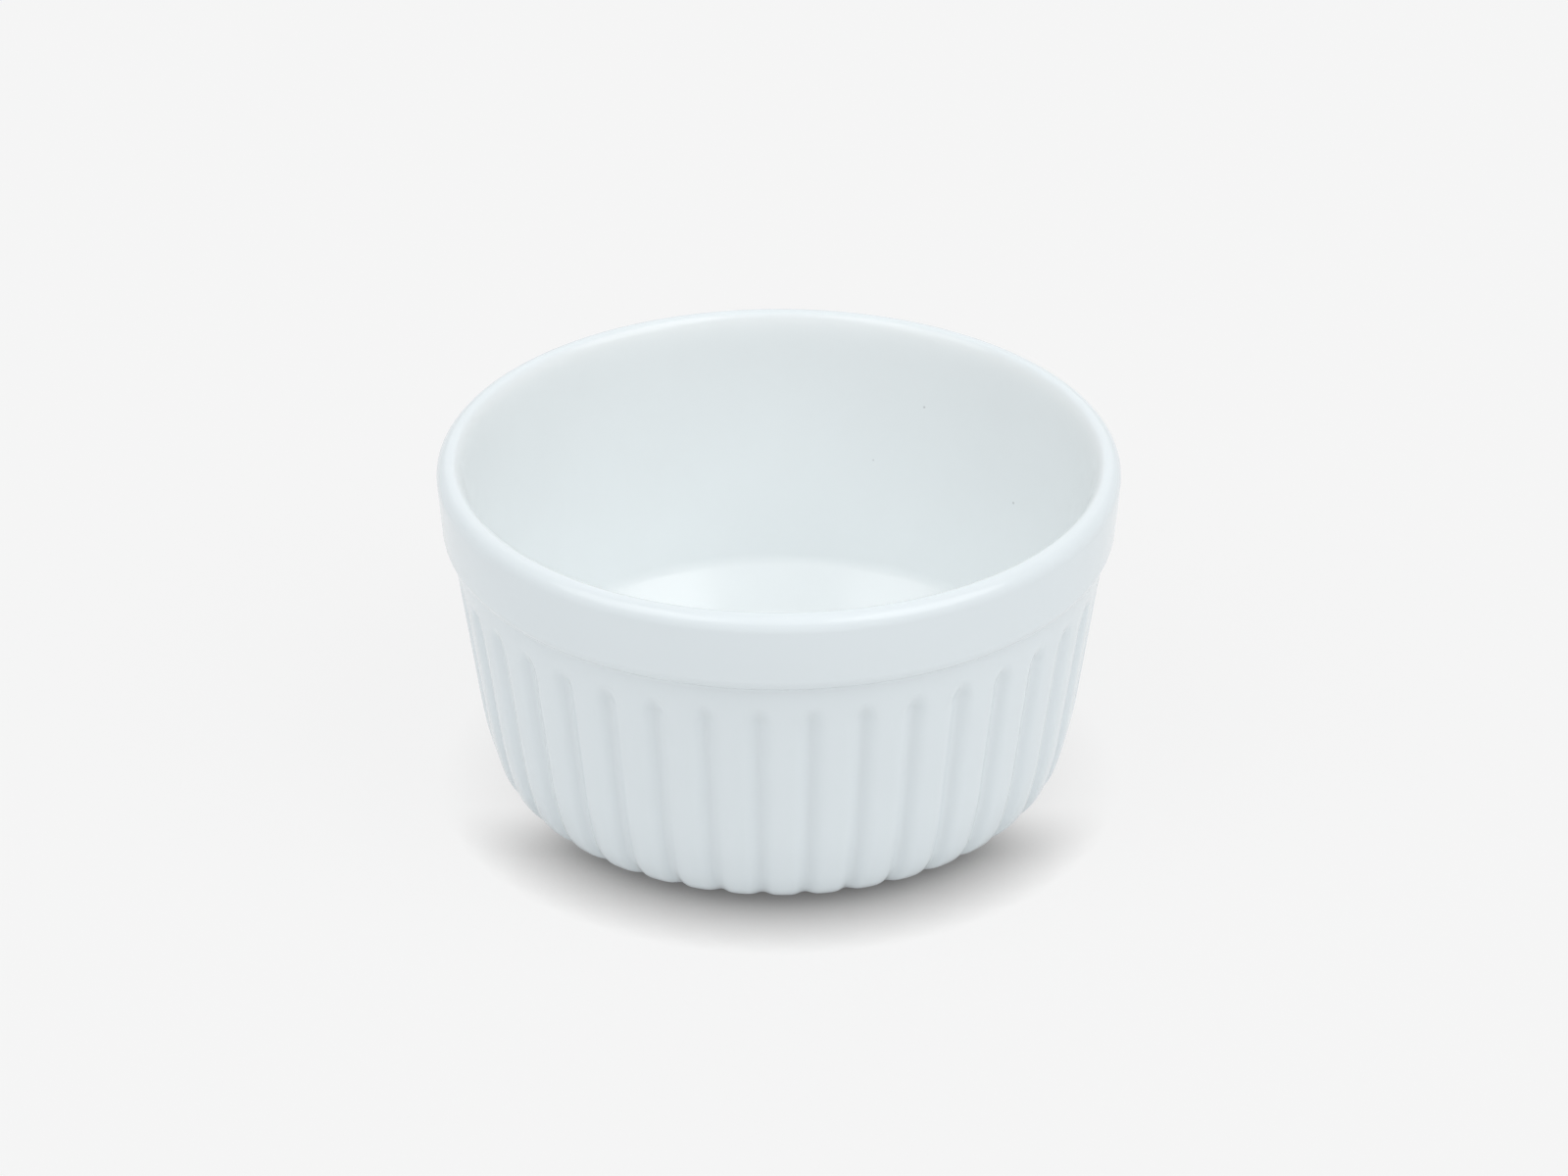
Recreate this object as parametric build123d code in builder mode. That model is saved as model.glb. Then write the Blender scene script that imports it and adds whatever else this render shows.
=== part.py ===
"""Round fluted porcelain ramekin, 90 mm across the rim.

The vessel stands on z = 0 with its axis on Z. Every profile is drawn in a
plane that holds the axis, with the radius as x and the height as y, and all
its points follow from the sizes below.
"""

from build123d import *
from math import cos, pi, radians, sin, sqrt, tan
import os

os.makedirs("parts", exist_ok=True)

# Driving sizes in millimetres and degrees

# Rim and collar
rim_radius = 45.0
height = 48.5
rim_outer_round = 1.9
rim_inner_round = 1.7
collar_height = 10.5
collar_taper = 4.5
collar_edge_round = 0.95

# Wall, from the collar down to the base
wall_taper = 8.1
belly_radius = 50.0
belly_turn = 9.6
corner_radius = 8.9

# Flutes, the narrow grooves between the ribs
flute_count = 39
front_rib_angle = -88.9
flute_width = 3.2
flute_depth = 0.8
flute_land = 3.1
flute_end_rise = 1.3
flute_run_out = 2.2
flute_fade_angle = 82.0
flute_angle_shares = (-1.0, -0.66, -0.24, 0.24, 0.66, 1.0)
flute_depth_shares = (0.0, 0.4, 1.0, 1.0, 0.4, 0.0)

# Fluted skin, which overlaps the plain core under it
skin_root = 1.8
core_root = 1.2
collar_ledge = 0.12
base_ledge = 0.04

# Cavity
floor_height = 4.9
floor_round = 9.0

# Foot ring and the recess inside it
foot_outer_radius = 29.0
foot_width = 3.0
foot_height = 0.45
foot_bare = 0.4
recess_height = 1.2

# Glaze coat in the cavity and in the foot recess
glaze_thickness = 0.3

# Rim and collar, worked out from the crown down
lean = radians(collar_taper)
crown_radius = rim_radius - rim_outer_round
collar_bottom = height - collar_height
round_step = rim_outer_round - collar_edge_round
side_height = height - rim_outer_round - round_step * sin(lean)
edge_centre_height = collar_bottom + collar_edge_round
edge_centre_radius = crown_radius + round_step * cos(lean) - tan(lean) * (side_height - edge_centre_height)

# Outer wall, worked out from the collar down
taper = radians(wall_taper)
belly_end = radians(wall_taper + belly_turn)
fade = radians(flute_fade_angle)
wall_top_radius = edge_centre_radius - collar_ledge
belly_foot_height = foot_height + corner_radius * (1 - sin(belly_end))
wall_foot_height = belly_foot_height + belly_radius * (sin(belly_end) - sin(taper))
wall_foot_radius = wall_top_radius - tan(taper) * (collar_bottom - wall_foot_height)
belly_foot_radius = wall_foot_radius - belly_radius * (cos(taper) - cos(belly_end))
base_radius = belly_foot_radius - corner_radius * cos(belly_end)
fade_height = foot_height + corner_radius * (1 - sin(fade))
fade_radius = base_radius + corner_radius * cos(fade)

# Cavity wall, parallel to the outer wall, and the flat of the floor
cavity_top_height = height - rim_inner_round * (1 - sin(taper))
cavity_top_radius = crown_radius - rim_inner_round * cos(taper)
floor_centre_height = floor_height + floor_round
cavity_foot_height = floor_centre_height - floor_round * sin(taper)
cavity_foot_radius = cavity_top_radius - tan(taper) * (cavity_top_height - cavity_foot_height)
floor_flat_radius = cavity_foot_radius - floor_round * cos(taper)

# Flutes and foot
flute_end_height = collar_bottom - flute_land
flute_angle = 360 * flute_width / (2 * pi * wall_top_radius)
rib_angle = 360 / flute_count - flute_angle
foot_inner_radius = foot_outer_radius - foot_width
recess_top = recess_height + glaze_thickness


def radial_plane(angle):
    """Plane through the axis at the angle, with the radius as its x."""
    turn = radians(angle)
    return Plane(origin=(0, 0, 0), x_dir=(cos(turn), sin(turn), 0), z_dir=(sin(turn), -cos(turn), 0))


def wall_point(z, depth=0):
    """Point of the straight wall at height z, sunk by a depth square to it."""
    return (wall_top_radius - tan(taper) * (collar_bottom - z) - depth / cos(taper), z)


def belly_top(depth):
    """Where the straight wall turns into the belly, sunk by a depth."""
    return (wall_foot_radius - depth * cos(taper), wall_foot_height + depth * sin(taper))


def belly_foot(depth):
    """Where the belly turns into the corner, sunk by a depth."""
    return (belly_foot_radius - depth * cos(belly_end), belly_foot_height + depth * sin(belly_end))


def skin_section(angle, depth, end_height):
    """Section of the fluted skin where a groove of this depth starts below end_height."""
    groove_top = wall_point(end_height - flute_run_out, depth)
    fade_point = (fade_radius, fade_height)
    root_foot = (base_radius - skin_root, fade_height)
    root_corner = (base_radius - skin_root, foot_height + skin_root)
    root_top = wall_point(collar_bottom, skin_root)
    outline = [
        Line(wall_point(collar_bottom), wall_point(end_height)),
        Line(wall_point(end_height), groove_top),
        Line(groove_top, belly_top(depth)),
        TangentArc(belly_top(depth), belly_foot(depth), tangent=(-sin(taper), -cos(taper))),
        TangentArc(belly_foot(depth), fade_point, tangent=(-sin(belly_end), -cos(belly_end))),
        Line(fade_point, root_foot),
        Line(root_foot, root_corner),
        Line(root_corner, belly_foot(skin_root)),
        Line(belly_foot(skin_root), belly_top(skin_root)),
        Line(belly_top(skin_root), root_top),
        Line(root_top, wall_point(collar_bottom)),
    ]
    return radial_plane(angle) * Face(Wire(outline))


def cavity_point(coat):
    """Top of the cavity's straight wall, behind a coat of this thickness."""
    return (cavity_top_radius + coat * cos(taper), cavity_top_height - coat * sin(taper))


def cavity_lines(coat):
    """Cavity from the foot of the rim's round to the axis, behind a coat of this thickness."""
    floor_curve = floor_round + coat
    wall_foot = (
        floor_flat_radius + floor_curve * cos(taper),
        floor_centre_height - floor_curve * sin(taper),
    )
    floor_edge = (floor_flat_radius, floor_height - coat)
    Line(cavity_point(coat), wall_foot)
    TangentArc(wall_foot, floor_edge, tangent=(-sin(taper), -cos(taper)))
    Line(floor_edge, (0, floor_height - coat))


# Sections of one rib and of the flute beside it, with the same corners in each
rib_section = skin_section(-rib_angle / 2, 0, flute_end_height)
flute_sections = [
    skin_section(
        rib_angle / 2 + flute_angle / 2 * (1 + angle_share),
        flute_depth * depth_share,
        flute_end_height - flute_end_rise * (1 - sqrt(1 - angle_share**2)),
    )
    for angle_share, depth_share in zip(flute_angle_shares, flute_depth_shares)
]

# One pitch of the skin, a turned rib and a flute ruled across its width
with BuildPart() as pitch:
    revolve(profiles=rib_section, axis=Axis.Z, revolution_arc=rib_angle)
    loft(sections=flute_sections, ruled=True)

# Fired body, a turned core with the ring of ribs and flutes on its wall
with BuildPart() as porcelain_body:
    with BuildSketch(Plane.XZ):
        with BuildLine():
            side_top = (
                crown_radius + rim_outer_round * cos(lean),
                height - rim_outer_round - rim_outer_round * sin(lean),
            )
            side_foot = (
                edge_centre_radius + collar_edge_round * cos(lean),
                edge_centre_height - collar_edge_round * sin(lean),
            )
            collar_edge = (edge_centre_radius, collar_bottom)
            corner_root = (base_radius, foot_height + core_root)
            cavity_lines(glaze_thickness)
            Line(cavity_point(glaze_thickness), cavity_point(0))
            TangentArc((crown_radius, height), cavity_point(0), tangent=(-1, 0))
            TangentArc((crown_radius, height), side_top, tangent=(1, 0))
            Line(side_top, side_foot)
            TangentArc(side_foot, collar_edge, tangent=(-sin(lean), -cos(lean)))
            Line(collar_edge, wall_point(collar_bottom, core_root))
            Line(wall_point(collar_bottom, core_root), belly_top(core_root))
            TangentArc(belly_top(core_root), belly_foot(core_root), tangent=(-sin(taper), -cos(taper)))
            TangentArc(belly_foot(core_root), corner_root, tangent=(-sin(belly_end), -cos(belly_end)))
            Polyline(
                corner_root,
                (base_radius, fade_height),
                (fade_radius - base_ledge, fade_height),
                (base_radius, foot_height),
                (foot_outer_radius, foot_height),
                (foot_outer_radius, 0),
                (foot_inner_radius, 0),
                (foot_inner_radius - recess_top, recess_top),
                (0, recess_top),
                (0, floor_height - glaze_thickness),
            )
        make_face()
    revolve(axis=Axis.Z)
    with PolarLocations(0, flute_count, start_angle=front_rib_angle):
        add(pitch.part, clean=False)
porcelain_body.part.label = "porcelain_body"
export_step(porcelain_body.part, "parts/porcelain_body.step")

# Glaze coat of the cavity, sunk flush into the body from the rim's round to the floor
with BuildPart() as liner_glaze:
    with BuildSketch(Plane.XZ):
        with BuildLine():
            cavity_lines(0)
            cavity_lines(glaze_thickness)
            Line(cavity_point(glaze_thickness), cavity_point(0))
            Line((0, floor_height - glaze_thickness), (0, floor_height))
        make_face()
    revolve(axis=Axis.Z)
liner_glaze.part.label = "liner_glaze"
export_step(liner_glaze.part, "parts/liner_glaze.step")

# Glaze of the foot recess, which stops short of the bare ring
with BuildPart() as underside_glaze:
    with BuildSketch(Plane.XZ):
        with BuildLine():
            glaze_reach = foot_inner_radius - glaze_thickness * sqrt(2)
            Polyline(
                (0, recess_top),
                (foot_inner_radius - recess_top, recess_top),
                (foot_inner_radius - foot_bare, foot_bare),
                (glaze_reach - foot_bare, foot_bare),
                (glaze_reach - recess_height, recess_height),
                (0, recess_height),
                close=True,
            )
        make_face()
    revolve(axis=Axis.Z)
underside_glaze.part.label = "underside_glaze"
export_step(underside_glaze.part, "parts/underside_glaze.step")
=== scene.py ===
"""Looks of the fluted ramekin: glazed porcelain on a pale studio floor."""

from functools import partial
from math import atan2, cos, exp, hypot, pi, radians, sin, sqrt, tan

import bpy
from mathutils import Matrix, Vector


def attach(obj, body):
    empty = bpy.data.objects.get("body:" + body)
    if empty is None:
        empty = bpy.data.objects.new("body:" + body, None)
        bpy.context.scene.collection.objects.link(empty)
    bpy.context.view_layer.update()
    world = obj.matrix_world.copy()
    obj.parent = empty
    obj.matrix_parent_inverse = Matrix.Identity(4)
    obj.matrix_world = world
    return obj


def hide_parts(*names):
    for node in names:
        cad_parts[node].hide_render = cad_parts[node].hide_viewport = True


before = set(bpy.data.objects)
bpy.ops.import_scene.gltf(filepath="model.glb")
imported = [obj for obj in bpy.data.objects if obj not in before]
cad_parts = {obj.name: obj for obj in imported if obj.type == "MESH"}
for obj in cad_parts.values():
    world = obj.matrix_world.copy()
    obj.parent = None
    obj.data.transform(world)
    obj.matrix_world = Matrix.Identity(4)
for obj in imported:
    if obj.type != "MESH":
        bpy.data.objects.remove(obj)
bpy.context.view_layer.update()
scene = bpy.context.scene
MM = 0.001
ON_AXIS = 1e-6

# Margin that keeps this round rim inside the box of the model's rim, which is cut into flats
BOX_MARGIN = 0.01

# Sizes of the vessel in millimetres and degrees, as in the model
RIM_RADIUS = 45.0 - BOX_MARGIN
HEIGHT = 48.5
RIM_OUTER_ROUND = 1.9
RIM_INNER_ROUND = 1.7
COLLAR_HEIGHT = 10.5
COLLAR_EDGE_ROUND = 0.95
COLLAR_LEDGE = 0.12
LEAN = radians(4.5)
WALL_TAPER = 8.1
BELLY_TURN = 9.6
BELLY_RADIUS = 50.0
CORNER_RADIUS = 8.9
FLUTE_COUNT = 39
FRONT_RIB = radians(-88.9)
FLUTE_WIDTH = 3.2
FLUTE_DEPTH = 0.8
FLUTE_LAND = 3.1
FLUTE_END_RISE = 1.3
FLUTE_RUN_OUT = 2.2
FADE = radians(82.0)
FLOOR_HEIGHT = 4.9
FLOOR_ROUND = 9.0
FOOT_OUTER = 29.0
FOOT_INNER = 26.0
FOOT_HEIGHT = 0.45
FOOT_BARE = 0.4
RECESS_TOP = 1.5
GLAZE = 0.3

# Rim's inner side: one long fall from the crown to the cup's wall, with the pull at each end
RIM_FALL = 8.0
CROWN_PULL = 0.58
WALL_PULL = 0.6

# Collar's lower edge: radii of its convex and hollow rounds, and how far above and below their centres lie
EDGE_CONVEX = 2.2
EDGE_COVE = 2.2
EDGE_RISE = 1.45

# Flutes: a longer run-out, and a soft groove with its share of the depth, half width and steepness
RUN_OUT_SOFTENED = 1.5 * FLUTE_RUN_OUT
GROOVE_SHARE = 0.8
GROOVE_HALF = 0.8
GROOVE_POWER = 2.2

# Cup: a turn, a slope and a last round between its wall and its floor
CUP_TURN_TOP = 14.0
CUP_TURN_RADIUS = 4.0
CUP_SLOPE = radians(34.0)
CUP_SLOPE_LENGTH = 6.0

# Pocket behind the cup's glaze
SEAM_LAP = 0.1
POCKET_TOP = 44.0

# Foot: its worn edges, and the height up to which it is bare
FOOT_BEVEL = 0.08
FOOT_COVE_DROP = 0.02
BEVEL_MIDDLE = 0.3
INNER_BEVEL_RISE = 1.4
BARE_TOP = 0.41

# Rows along each stretch of the outlines, and columns in each pitch of the flutes
RIM_ROWS = 26
CROWN_ROWS = 15
SIDE_ROWS = 2
EDGE_ROWS = 7
LAND_ROWS = 3
RUN_OUT_ROWS = 16
WALL_ROWS = 4
BELLY_ROWS = 6
CORNER_ROWS = 18
POCKET_ROWS = 8
CUP_WALL_ROWS = 6
CUP_TURN_ROWS = 8
CUP_SLOPE_ROWS = 6
CUP_ROUND_ROWS = 14
CUP_FLOOR_ROWS = 4
COLUMNS_PER_PITCH = 22

# Places that follow from the sizes
TAPER = radians(WALL_TAPER)
BELLY_END = radians(WALL_TAPER + BELLY_TURN)
CROWN_RADIUS = RIM_RADIUS - RIM_OUTER_ROUND
COLLAR_BOTTOM = HEIGHT - COLLAR_HEIGHT
ROUND_STEP = RIM_OUTER_ROUND - COLLAR_EDGE_ROUND
SIDE_HEIGHT = HEIGHT - RIM_OUTER_ROUND - ROUND_STEP * sin(LEAN)
EDGE_HEIGHT = COLLAR_BOTTOM + COLLAR_EDGE_ROUND
EDGE_RADIUS = CROWN_RADIUS + ROUND_STEP * cos(LEAN) - tan(LEAN) * (SIDE_HEIGHT - EDGE_HEIGHT)
WALL_TOP = EDGE_RADIUS - COLLAR_LEDGE
BELLY_FOOT_Z = FOOT_HEIGHT + CORNER_RADIUS * (1 - sin(BELLY_END))
WALL_FOOT_Z = BELLY_FOOT_Z + BELLY_RADIUS * (sin(BELLY_END) - sin(TAPER))
WALL_FOOT = WALL_TOP - tan(TAPER) * (COLLAR_BOTTOM - WALL_FOOT_Z)
BELLY_FOOT = WALL_FOOT - BELLY_RADIUS * (cos(TAPER) - cos(BELLY_END))
BASE_RADIUS = BELLY_FOOT - CORNER_RADIUS * cos(BELLY_END)
CAVITY_TOP_Z = HEIGHT - RIM_INNER_ROUND * (1 - sin(TAPER))
CAVITY_TOP = CROWN_RADIUS - RIM_INNER_ROUND * cos(TAPER)
FLOOR_CENTRE_Z = FLOOR_HEIGHT + FLOOR_ROUND
CAVITY_FOOT_Z = FLOOR_CENTRE_Z - FLOOR_ROUND * sin(TAPER)
CAVITY_FOOT = CAVITY_TOP - tan(TAPER) * (CAVITY_TOP_Z - CAVITY_FOOT_Z)
FLOOR_FLAT = CAVITY_FOOT - FLOOR_ROUND * cos(TAPER)
FLUTE_END = COLLAR_BOTTOM - FLUTE_LAND
FLUTE_HALF = FLUTE_WIDTH / (2 * WALL_TOP)
PITCH = 2 * pi / FLUTE_COUNT

# Porcelain: colours, shares and roughness, with scales in waves to the metre and depths in metres
CERAMIC_IOR = 1.5
OUTER_COLOUR = (0.76, 0.822, 0.852)
# The cup's colour is the glaze's own tone, painted lighter than the outer glaze to stand in for light
# inside the cup
CUP_COLOUR_WITH_PAINTED_LIGHT = (0.85, 0.889, 0.90)
# Share by which the glaze is painted darker in the flutes, by their depth: painted shade in the grooves
FLUTE_PAINTED_SHADE = 0.025
CLOUD_SCALE = 60.0
CLOUD_SHARE = 0.018
GLOSS_SCALE = 110.0
GLOSS_NOISE = (0.3, 0.7)
GLOSS_ROUGHNESS = (0.13, 0.21)
RIPPLE_SCALE = 260.0
RIPPLE_DEPTH = 0.00006
RIPPLE_STRENGTH = 0.25
SPECK_SCALE = 150.0
SPECK_CHOICE = (0.72, 0.78)
SPECK_EDGE = (0.016, 0.036)
SPECK_SHARE = 0.45
SPECK_COLOUR = (0.27, 0.28, 0.30, 1)
CLAY_COLOUR = (0.80, 0.785, 0.75)
CLAY_ROUGHNESS = 0.78
STAIN_SCALE = 120.0
STAIN_NOISE = (0.45, 0.75)
STAIN_TONE = 0.93
GRAIN_SCALE = 2400.0
GRAIN_DEPTH = 0.00005
GRAIN_STRENGTH = 0.5

# Floor, in metres: its colours, and where along Y its contact shade goes from full to faint to full
FLOOR_REACH = 30.0
FLOOR_MATTE = (0.87, 0.87, 0.87, 1)
FLOOR_SEEN = (0.913, 0.913, 0.913, 1)
FLOOR_SHADE = (0.09, 0.09, 0.09, 1)
SEEN_SHARE = 0.9
CONTACT_REACH = 0.0101
CONTACT_SAMPLES = 16
FRONT_SHADE = (-0.0225, -0.008)
BACK_SHADE = (0.018, 0.034)
SIDE_SHADE = 0.15

# Fill light as a white matte surface shows it, and what is added where the glaze mirrors it
FILL_LEVEL = 0.478
MIRRORED_LEVEL = 0.3


def smooth(low, high, x):
    """Share from 0 at low to 1 at high, with a soft start and end."""
    t = min(1.0, max(0.0, (x - low) / (high - low)))
    return t * t * (3 - 2 * t)


def spread(start, end, count):
    """Evenly spaced values from start to end, without the start."""
    return [start + (end - start) * i / count for i in range(1, count + 1)]


def on_arc(centre, radius, turn):
    """Point of an arc in the radial plane, at an angle above level."""
    return (centre[0] + radius * cos(turn), centre[1] + radius * sin(turn))


def arc(centre, radius, start, end, count):
    """Points along an arc between two angles above level, without its start."""
    return [on_arc(centre, radius, turn) for turn in spread(start, end, count)]


def line(start, end, count):
    """Points along a straight line, without its start."""
    return list(zip(spread(start[0], end[0], count), spread(start[1], end[1], count)))


def curve(start, start_pull, end_pull, end, count):
    """Points along a cubic curve with a pull at each end, its start among them."""
    points = []
    for i in range(count + 1):
        t = i / count
        weights = ((1 - t) ** 3, 3 * (1 - t) ** 2 * t, 3 * (1 - t) * t * t, t**3)
        corners = (start, start_pull, end_pull, end)
        points.append(tuple(sum(w * c[axis] for w, c in zip(weights, corners)) for axis in (0, 1)))
    return points


def outward(turn):
    """Direction out of the vessel, turned down from level by an angle."""
    return (cos(turn), -sin(turn))


def collar_radius(z):
    """Radius of the collar's leaning side at height z."""
    return CROWN_RADIUS + RIM_OUTER_ROUND / cos(LEAN) - tan(LEAN) * (HEIGHT - RIM_OUTER_ROUND - z)


def wall_radius(z):
    """Radius of the straight outer wall at height z."""
    return WALL_TOP - tan(TAPER) * (COLLAR_BOTTOM - z)


def cup_radius(z):
    """Radius of the cup's straight wall at height z."""
    return CAVITY_TOP - tan(TAPER) * (CAVITY_TOP_Z - z)


# Flutes: a depth is measured square to the surface, at an offset from the middle of the nearest flute


def flute_offset(angle):
    """Offset of an angle round the axis from the middle of the nearest flute, an angle too."""
    return (((angle - FRONT_RIB) / PITCH) % 1.0 - 0.5) * PITCH


def full_depth(offset):
    """Depth of a flute where nothing ends it: a soft groove between convex ribs."""
    groove = exp(-((abs(offset) / (FLUTE_HALF * GROOVE_HALF)) ** GROOVE_POWER))
    rib = max(0.0, 1 - 2 * abs(offset) / PITCH) ** 2
    return FLUTE_DEPTH * (GROOVE_SHARE * groove + (1 - GROOVE_SHARE) * rib)


def wall_depth(z, offset):
    """Depth on the straight wall at height z, with the flute's rounded top and run-out."""
    share = min(1.0, abs(offset) / FLUTE_HALF)
    end = FLUTE_END - FLUTE_END_RISE * (1 - sqrt(1 - share * share))
    return full_depth(offset) * smooth(0.0, RUN_OUT_SOFTENED, end - z)


def corner_depth(turn, offset):
    """Depth in the base corner, where the flute's floor is a flatter arc that runs out."""
    if turn >= FADE:
        return 0.0
    sunk = CORNER_RADIUS - full_depth(offset)
    shift = (sunk**2 - CORNER_RADIUS**2) / (2 * (sunk - CORNER_RADIUS * cos(FADE - BELLY_END)))
    reach = sunk - shift
    past = turn - BELLY_END
    return max(0.0, CORNER_RADIUS - shift * cos(past) - sqrt(reach**2 - (shift * sin(past)) ** 2))


# Lathe: a row is (radius, height), or with flutes (radius, height, outward direction, depth by offset)


def on_axis(row):
    """Whether a row is a single point on the axis."""
    return row[0] <= ON_AXIS


def column_angles():
    """Angles round the vessel, evenly spread over each pitch of the flutes."""
    shares = [i / COLUMNS_PER_PITCH for i in range(COLUMNS_PER_PITCH)]
    return [FRONT_RIB + PITCH * (n + share) for n in range(FLUTE_COUNT) for share in shares]


def ring(row, angles):
    """Points of a row round the axis, and the share of the flutes' depth that each is sunk by."""
    radius, z = row[:2]
    if on_axis(row):
        return [(0.0, 0.0, z * MM)], [0.0]
    points, depth_shares = [], []
    for angle in angles:
        r, h, depth = radius, z, 0.0
        if len(row) > 2:
            normal, depth_at = row[2:]
            depth = depth_at(flute_offset(angle))
            r -= normal[0] * depth
            h -= normal[1] * depth
        points.append((r * cos(angle) * MM, r * sin(angle) * MM, h * MM))
        depth_shares.append(depth / FLUTE_DEPTH)
    return points, depth_shares


def band(row, following, a, b, count):
    """Faces between two rows whose points are numbered from a and from b."""
    faces = []
    for i in range(count):
        j = (i + 1) % count
        if on_axis(row):
            faces.append((a, b + j, b + i))
        elif on_axis(following):
            faces.append((a + i, a + j, b))
        else:
            faces.append((a + i, a + j, b + j, b + i))
    return faces


def lathe(name, strips, materials, band_material=None, row_share=None):
    """Piece of strips of rows turned round the axis.

    Each strip runs with the solid on its left, seen with the radius to the right. The share of a row
    is kept as the attribute "inside" of its points, which turns the glaze to the cup's colour with its
    painted light, and the share of the flute's depth as a second attribute, which paints the glaze
    darker in the grooves as shade.
    """
    angles = column_angles()
    vertices, faces, indices, shares, depth_shares = [], [], [], [], []
    for strip in strips:
        starts = []
        for row in strip:
            starts.append(len(vertices))
            points, sunk = ring(row, angles)
            vertices += points
            depth_shares += sunk
            shares += [row_share(row) if row_share else 0.0] * len(points)
        for row, following, a, b in zip(strip, strip[1:], starts, starts[1:]):
            faces += band(row, following, a, b, len(angles))
            indices += [band_material(row, following) if band_material else 0] * len(angles)
    mesh = bpy.data.meshes.new(name)
    mesh.from_pydata(vertices, [], faces)
    for material in materials:
        mesh.materials.append(material)
    mesh.polygons.foreach_set("material_index", indices)
    mesh.polygons.foreach_set("use_smooth", [True] * len(faces))
    mesh.attributes.new("inside", "FLOAT", "POINT").data.foreach_set("value", shares)
    mesh.attributes.new("sunk_share", "FLOAT", "POINT").data.foreach_set("value", depth_shares)
    mesh.update()
    piece = bpy.data.objects.new(name, mesh)
    scene.collection.objects.link(piece)
    return piece


# Material nodes


def node(tree, kind, **values):
    """New node with some of its properties set."""
    made = tree.nodes.new(kind)
    for key, value in values.items():
        setattr(made, key, value)
    return made


def feed(tree, value, socket):
    """Gives a socket its value: a link from another socket, or a plain number or colour."""
    if isinstance(value, bpy.types.NodeSocket):
        tree.links.new(value, socket)
    else:
        socket.default_value = value


def maths(tree, operation, *values):
    """Math node on numbers and sockets."""
    made = node(tree, "ShaderNodeMath", operation=operation)
    for value, socket in zip(values, made.inputs):
        feed(tree, value, socket)
    return made.outputs[0]


def noise(tree, place, scale, detail):
    """Noise of a scale in waves to the metre."""
    made = node(tree, "ShaderNodeTexNoise")
    made.inputs["Scale"].default_value = scale
    made.inputs["Detail"].default_value = detail
    tree.links.new(place, made.inputs["Vector"])
    return made.outputs["Fac"]


def ranged(tree, value, *limits):
    """Value carried from the range limits[0] to limits[1] over to limits[2] to limits[3], smoothly."""
    made = node(tree, "ShaderNodeMapRange", interpolation_type="SMOOTHSTEP")
    for i, limit in enumerate(limits):
        made.inputs[i + 1].default_value = limit
    tree.links.new(value, made.inputs["Value"])
    return made.outputs["Result"]


def mixed(tree, share, first, second):
    """Colour between two, each a colour or a socket."""
    made = node(tree, "ShaderNodeMix", data_type="RGBA")
    tree.links.new(share, made.inputs[0])
    feed(tree, first, made.inputs[6])
    feed(tree, second, made.inputs[7])
    return made.outputs[2]


def bumped(tree, shader, height, distance, strength):
    """Bumps on a shader, of a depth in metres."""
    made = node(tree, "ShaderNodeBump")
    made.inputs["Strength"].default_value = strength
    made.inputs["Distance"].default_value = distance
    tree.links.new(height, made.inputs["Height"])
    tree.links.new(made.outputs["Normal"], shader.inputs["Normal"])


def attribute(tree, name):
    """Attribute of the piece's points."""
    return node(tree, "ShaderNodeAttribute", attribute_name=name).outputs["Fac"]


def object_place(tree):
    """Place in the object's own metres."""
    return node(tree, "ShaderNodeTexCoord").outputs["Object"]


def scaled(colour, factor):
    """Colour made lighter or darker by a factor, up to white."""
    return (*[min(1.0, c * factor) for c in colour], 1)


def ceramic(name):
    """New material with its node tree and its shader."""
    material = bpy.data.materials.new(name)
    material.use_nodes = True
    shader = material.node_tree.nodes["Principled BSDF"]
    shader.inputs["IOR"].default_value = CERAMIC_IOR
    return material, material.node_tree, shader


def pinholes(tree, place):
    """Share of the iron specks and pinholes of fired glaze, about one to 25 square centimetres."""
    cells = node(tree, "ShaderNodeTexVoronoi")
    cells.inputs["Scale"].default_value = SPECK_SCALE
    tree.links.new(place, cells.inputs["Vector"])
    pick = node(tree, "ShaderNodeSeparateColor")
    tree.links.new(cells.outputs["Color"], pick.inputs[0])
    chosen = ranged(tree, pick.outputs[0], *SPECK_CHOICE, 0.0, 1.0)
    dot = ranged(tree, cells.outputs["Distance"], *SPECK_EDGE, SPECK_SHARE, 0.0)
    return maths(tree, "MULTIPLY", chosen, dot)


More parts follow.
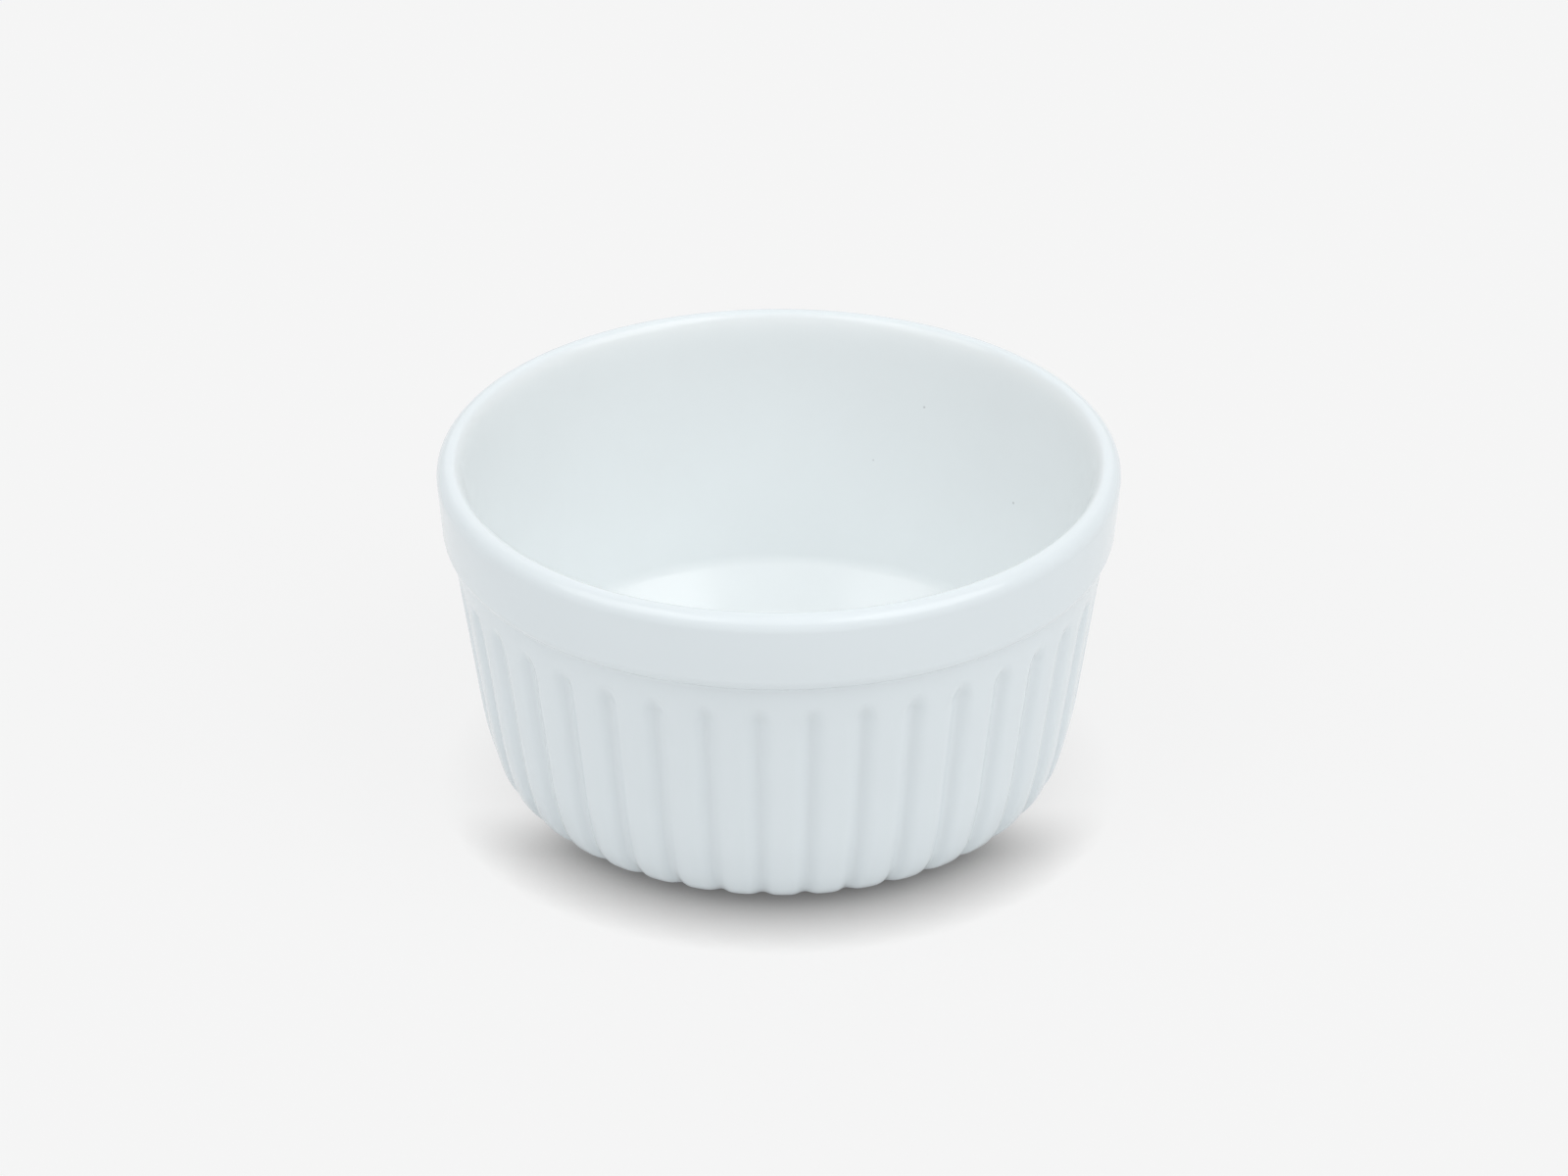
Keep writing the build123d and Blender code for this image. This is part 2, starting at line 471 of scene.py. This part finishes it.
def glaze(name, colour, inner=None):
    """White glaze: cloudy in colour, with specks, a faint ripple and an uneven gloss.

    Where an inner colour is given, the glaze takes it on towards the inside of the vessel, with the
    painted light that the cup's colour carries, and in the flutes it is a little darker by their depth:
    painted shade.
    """
    material, tree, shader = ceramic(name)
    place = object_place(tree)
    pale = scaled(colour, 1 + CLOUD_SHARE)
    deep = scaled(colour, 1 - CLOUD_SHARE)
    if inner:
        inside = attribute(tree, "inside")
        pale = mixed(tree, inside, pale, scaled(inner, 1 + CLOUD_SHARE))
        deep = mixed(tree, inside, deep, scaled(inner, 1 - CLOUD_SHARE))
    tint = mixed(tree, noise(tree, place, CLOUD_SCALE, detail=3.0), deep, pale)
    if inner:
        # Painted shade: the glaze is darker in the flutes by their depth
        sunk_share = ranged(tree, attribute(tree, "sunk_share"), 0.0, 1.0, 0.0, 1.0)
        tint = mixed(tree, sunk_share, tint, scaled(colour, 1 - FLUTE_PAINTED_SHADE))
    tint = mixed(tree, pinholes(tree, place), tint, SPECK_COLOUR)
    tree.links.new(tint, shader.inputs["Base Color"])
    gloss = ranged(tree, noise(tree, place, GLOSS_SCALE, detail=2.0), *GLOSS_NOISE, *GLOSS_ROUGHNESS)
    tree.links.new(gloss, shader.inputs["Roughness"])
    bumped(tree, shader, noise(tree, place, RIPPLE_SCALE, detail=2.0), RIPPLE_DEPTH, RIPPLE_STRENGTH)
    return material


def clay(name, colour):
    """Bare fired clay of the foot: dry and fine-grained, with a faint stain."""
    material, tree, shader = ceramic(name)
    shader.inputs["Roughness"].default_value = CLAY_ROUGHNESS
    place = object_place(tree)
    stain = ranged(tree, noise(tree, place, STAIN_SCALE, detail=4.0), *STAIN_NOISE, 0.0, 1.0)
    tint = mixed(tree, stain, scaled(colour, 1.0), scaled(colour, STAIN_TONE))
    tree.links.new(tint, shader.inputs["Base Color"])
    bumped(tree, shader, noise(tree, place, GRAIN_SCALE, detail=3.0), GRAIN_DEPTH, GRAIN_STRENGTH)
    return material


# The cup's glaze carries painted light in its lighter colour; the body's glaze turns to it on the rim's
# inner side and is painted darker in the flutes as shade
body_glaze = glaze("body_glaze", OUTER_COLOUR, CUP_COLOUR_WITH_PAINTED_LIGHT)
cup_glaze = glaze("cup_glaze", CUP_COLOUR_WITH_PAINTED_LIGHT)
bare_clay = clay("bare_clay", CLAY_COLOUR)

# Rim's inner side, which the body and the cup's glaze share: they meet at the seam
fall_foot = (cup_radius(HEIGHT - RIM_FALL), HEIGHT - RIM_FALL)
rim_fall = curve(
    (CROWN_RADIUS, HEIGHT),
    (CROWN_RADIUS - CROWN_PULL * (CROWN_RADIUS - fall_foot[0]), HEIGHT),
    (fall_foot[0] + tan(TAPER) * WALL_PULL * RIM_FALL, fall_foot[1] + WALL_PULL * RIM_FALL),
    fall_foot,
    RIM_ROWS,
)
seam = min(range(len(rim_fall)), key=lambda i: abs(rim_fall[i][1] - CAVITY_TOP_Z))
seam_radius, seam_height = rim_fall[seam]


def collar_rows():
    """Rows from the seam over the crown, down the collar and round its lower edge to the flutes' ends.

    The hollow round is drawn one step nearer to the radius at which it just touches the convex one.
    """
    convex_z = COLLAR_BOTTOM + EDGE_RISE
    cove_z = COLLAR_BOTTOM - EDGE_RISE
    convex_r = collar_radius(convex_z) - EDGE_CONVEX / cos(LEAN)
    first_cove_r = wall_radius(cove_z) + EDGE_COVE / cos(TAPER)
    cove_round = hypot(first_cove_r - convex_r, convex_z - cove_z) - EDGE_CONVEX
    cove_r = wall_radius(cove_z) + cove_round / cos(TAPER)
    bend = atan2(convex_z - cove_z, cove_r - convex_r)
    crown_centre = (CROWN_RADIUS, HEIGHT - RIM_OUTER_ROUND)
    rows = rim_fall[seam::-1]
    rows += arc(crown_centre, RIM_OUTER_ROUND, pi / 2, -LEAN, CROWN_ROWS)
    rows += line(rows[-1], on_arc((convex_r, convex_z), EDGE_CONVEX, -LEAN), SIDE_ROWS)
    rows += arc((convex_r, convex_z), EDGE_CONVEX, -LEAN, -bend, EDGE_ROWS)
    rows += arc((cove_r, cove_z), cove_round, pi - bend, pi - TAPER, EDGE_ROWS)
    rows += [(wall_radius(z), z) for z in spread(rows[-1][1], FLUTE_END, LAND_ROWS)]
    return rows


def fluted_rows():
    """Rows down the fluted wall, the belly and the base corner."""
    run_out_foot = FLUTE_END - FLUTE_END_RISE - RUN_OUT_SOFTENED
    heights = spread(FLUTE_END, run_out_foot, RUN_OUT_ROWS) + spread(run_out_foot, WALL_FOOT_Z, WALL_ROWS)
    rows = [(wall_radius(z), z, outward(TAPER), partial(wall_depth, z)) for z in heights]
    belly_centre = (WALL_FOOT - BELLY_RADIUS * cos(TAPER), WALL_FOOT_Z + BELLY_RADIUS * sin(TAPER))
    for turn in spread(TAPER, BELLY_END, BELLY_ROWS):
        rows.append((*on_arc(belly_centre, BELLY_RADIUS, -turn), outward(turn), full_depth))
    corner_centre = (BASE_RADIUS, FOOT_HEIGHT + CORNER_RADIUS)
    for turn in spread(BELLY_END, pi / 2, CORNER_ROWS):
        place = on_arc(corner_centre, CORNER_RADIUS, -turn)
        rows.append((*place, outward(turn), partial(corner_depth, turn)))
    return rows


def foot_rows():
    """Rows round the foot ring, with its worn edges, and over the recess inside it to the axis."""
    return [
        (FOOT_OUTER + 2 * FOOT_BEVEL, FOOT_HEIGHT),
        (FOOT_OUTER + FOOT_BEVEL, FOOT_HEIGHT - FOOT_COVE_DROP),
        (FOOT_OUTER, FOOT_HEIGHT - FOOT_BEVEL),
        (FOOT_OUTER, FOOT_HEIGHT / 2),
        (FOOT_OUTER, FOOT_BEVEL),
        (FOOT_OUTER - FOOT_BEVEL * BEVEL_MIDDLE, FOOT_BEVEL * BEVEL_MIDDLE),
        (FOOT_OUTER - FOOT_BEVEL, 0.0),
        ((FOOT_OUTER + FOOT_INNER) / 2, 0.0),
        (FOOT_INNER + FOOT_BEVEL, 0.0),
        (FOOT_INNER, FOOT_BEVEL * BEVEL_MIDDLE),
        (FOOT_INNER - FOOT_BEVEL, FOOT_BEVEL * INNER_BEVEL_RISE),
        (FOOT_INNER - FOOT_BARE, FOOT_BARE),
        (FOOT_INNER - RECESS_TOP, RECESS_TOP),
        (0.0, RECESS_TOP),
    ]


def pocket_rows():
    """Rows down the pocket behind the cup's glaze, from the seam to the axis."""
    centre = (FLOOR_FLAT, FLOOR_CENTRE_Z)
    return [
        (seam_radius, seam_height),
        (seam_radius + SEAM_LAP, seam_height - SEAM_LAP),
        (cup_radius(POCKET_TOP) + GLAZE / cos(TAPER), POCKET_TOP),
        on_arc(centre, FLOOR_ROUND + GLAZE, -TAPER),
        *arc(centre, FLOOR_ROUND + GLAZE, -TAPER, -pi / 2, POCKET_ROWS),
        (0.0, FLOOR_HEIGHT - GLAZE),
    ]


def cup_rows():
    """Rows down the cup's wall from the seam, and over its turn, slope and last round to the axis."""
    turn_top = cup_radius(CUP_TURN_TOP)
    turn_centre = (turn_top - CUP_TURN_RADIUS * cos(TAPER), CUP_TURN_TOP + CUP_TURN_RADIUS * sin(TAPER))
    rows = rim_fall[seam:]
    rows += line(rows[-1], (turn_top, CUP_TURN_TOP), CUP_WALL_ROWS)
    rows += arc(turn_centre, CUP_TURN_RADIUS, -TAPER, -CUP_SLOPE, CUP_TURN_ROWS)
    slope_top = rows[-1]
    slope_foot = (
        slope_top[0] - CUP_SLOPE_LENGTH * sin(CUP_SLOPE),
        slope_top[1] - CUP_SLOPE_LENGTH * cos(CUP_SLOPE),
    )
    rows += line(slope_top, slope_foot, CUP_SLOPE_ROWS)
    last_round = (slope_foot[1] - FLOOR_HEIGHT) / (1 - sin(CUP_SLOPE))
    last_centre = (slope_foot[0] - last_round * cos(CUP_SLOPE), FLOOR_HEIGHT + last_round)
    rows += arc(last_centre, last_round, -CUP_SLOPE, -pi / 2, CUP_ROUND_ROWS)
    rows += line(rows[-1], (0.0, FLOOR_HEIGHT), CUP_FLOOR_ROWS)
    return rows


def foot_material(row, following):
    """Number of the material between two rows: the bare clay low on the foot, or else the glaze."""
    return 1 if max(row[1], following[1]) <= BARE_TOP else 0


# The share turns the body's glaze on the rim's inner side to the cup's colour, with its painted light
def rim_share(row):
    """How far a row belongs to the cup's side, from 0 outside the crown to 1 at the seam."""
    return smooth(CROWN_RADIUS, seam_radius, row[0]) if row[1] >= seam_height else 0.0


# Body: rim, collar, fluted wall, foot, and the pocket behind the cup's glaze
outer = collar_rows() + fluted_rows() + foot_rows()
pocket = pocket_rows()
shell = lathe("body_porcelain", [outer[::-1], pocket], [body_glaze, bare_clay], foot_material, rim_share)
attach(shell, "root")
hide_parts("porcelain_body")

# Cup glaze: flush with the rim's fall, down over the floor, with its back in the pocket
cup_piece = lathe("cup_glaze", [cup_rows(), pocket[::-1]], [cup_glaze])
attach(cup_piece, "root")
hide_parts("liner_glaze")

# Underside glaze: the model's own piece
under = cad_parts["underside_glaze"]
under.data.materials.clear()
# It takes the cup's glaze, with the painted light of its lighter colour
under.data.materials.append(cup_glaze)


def contact_shade(tree):
    """Share of shade on the floor close to the vessel, full in front and behind, faint at the sides."""
    contact = node(tree, "ShaderNodeAmbientOcclusion", samples=CONTACT_SAMPLES)
    contact.inputs["Distance"].default_value = CONTACT_REACH
    hidden = maths(tree, "SUBTRACT", 1.0, contact.outputs["AO"])
    place = node(tree, "ShaderNodeSeparateXYZ")
    tree.links.new(object_place(tree), place.inputs[0])
    forward = ranged(tree, place.outputs["Y"], *FRONT_SHADE, 1.0, SIDE_SHADE)
    behind = ranged(tree, place.outputs["Y"], *BACK_SHADE, SIDE_SHADE, 1.0)
    return maths(tree, "MULTIPLY", hidden, maths(tree, "MAXIMUM", forward, behind))


def floor_material(name):
    """Matte material, seen and mirrored mostly in a pale colour of its own, with a contact shade."""
    material = bpy.data.materials.new(name)
    material.use_nodes = True
    tree = material.node_tree
    tree.nodes.clear()
    matte = node(tree, "ShaderNodeBsdfDiffuse")
    matte.inputs["Color"].default_value = FLOOR_MATTE
    pale = node(tree, "ShaderNodeEmission")
    tree.links.new(mixed(tree, contact_shade(tree), FLOOR_SEEN, FLOOR_SHADE), pale.inputs["Color"])
    rays = node(tree, "ShaderNodeLightPath").outputs
    seen = maths(tree, "MAXIMUM", rays["Is Camera Ray"], rays["Is Glossy Ray"])
    seen = maths(tree, "MAXIMUM", seen, rays["Is Transmission Ray"])
    blend = node(tree, "ShaderNodeMixShader")
    tree.links.new(maths(tree, "MULTIPLY", seen, SEEN_SHARE), blend.inputs[0])
    tree.links.new(matte.outputs[0], blend.inputs[1])
    tree.links.new(pale.outputs[0], blend.inputs[2])
    surface = node(tree, "ShaderNodeOutputMaterial")
    tree.links.new(blend.outputs[0], surface.inputs["Surface"])
    return material


# Floor: one wide triangle under the foot
floor_corners = [
    (-2 * FLOOR_REACH, -FLOOR_REACH, 0),
    (2 * FLOOR_REACH, -FLOOR_REACH, 0),
    (0, 2 * FLOOR_REACH, 0),
]
floor_mesh = bpy.data.meshes.new("floor")
floor_mesh.from_pydata(floor_corners, [], [(0, 1, 2)])
floor_mesh.materials.append(floor_material("studio_floor"))
floor = bpy.data.objects.new("floor", floor_mesh)
scene.collection.objects.link(floor)

# Studio light: a soft fill from all round, brighter where the glaze mirrors it, and four soft lamps
world = bpy.data.worlds.new("studio")
scene.world = world
world.use_nodes = True
background = world.node_tree.nodes["Background"]
background.inputs["Color"].default_value = (1, 1, 1, 1)
mirrored = node(world.node_tree, "ShaderNodeLightPath").outputs["Is Glossy Ray"]
strength = maths(world.node_tree, "MULTIPLY_ADD", mirrored, MIRRORED_LEVEL, FILL_LEVEL)
world.node_tree.links.new(strength, background.inputs["Strength"])


def lamp(name, tilt, azimuth, size, level):
    """Soft lamp, tilted from overhead to an azimuth that turns from the front of the scene to the right.

    Angles are in degrees, and a white matte surface square to the lamp shows the level.
    """
    data = bpy.data.lights.new(name, "SUN")
    data.angle = radians(size)
    data.energy = pi * level
    tilt, azimuth = radians(tilt), radians(azimuth)
    towards = Vector((sin(tilt) * sin(azimuth), -sin(tilt) * cos(azimuth), cos(tilt)))
    made = bpy.data.objects.new(name, data)
    made.rotation_euler = towards.to_track_quat("Z", "Y").to_euler()
    scene.collection.objects.link(made)


lamp("top_light", tilt=15, azimuth=0, size=60, level=0.172)
lamp("left_light", tilt=40, azimuth=-60, size=46, level=0.205)
lamp("right_light", tilt=42, azimuth=60, size=46, level=0.282)
lamp("back_light", tilt=50, azimuth=180, size=60, level=0.085)

# Camera
distance = 0.81
elevation = radians(28.762)
aim = Vector((0.000686, 0, 0.02853))
camera_data = bpy.data.cameras.new("camera")
camera_data.sensor_width = 36.0
camera_data.lens = 139.82
camera_data.clip_start = 0.01
camera_data.clip_end = 100.0
camera = bpy.data.objects.new("camera", camera_data)
scene.collection.objects.link(camera)
camera.location = aim + Vector((0, -distance * cos(elevation), distance * sin(elevation)))
camera.rotation_euler = (pi / 2 - elevation, 0, 0)
scene.camera = camera

scene.view_settings.view_transform = "Standard"

bpy.context.view_layer.update()
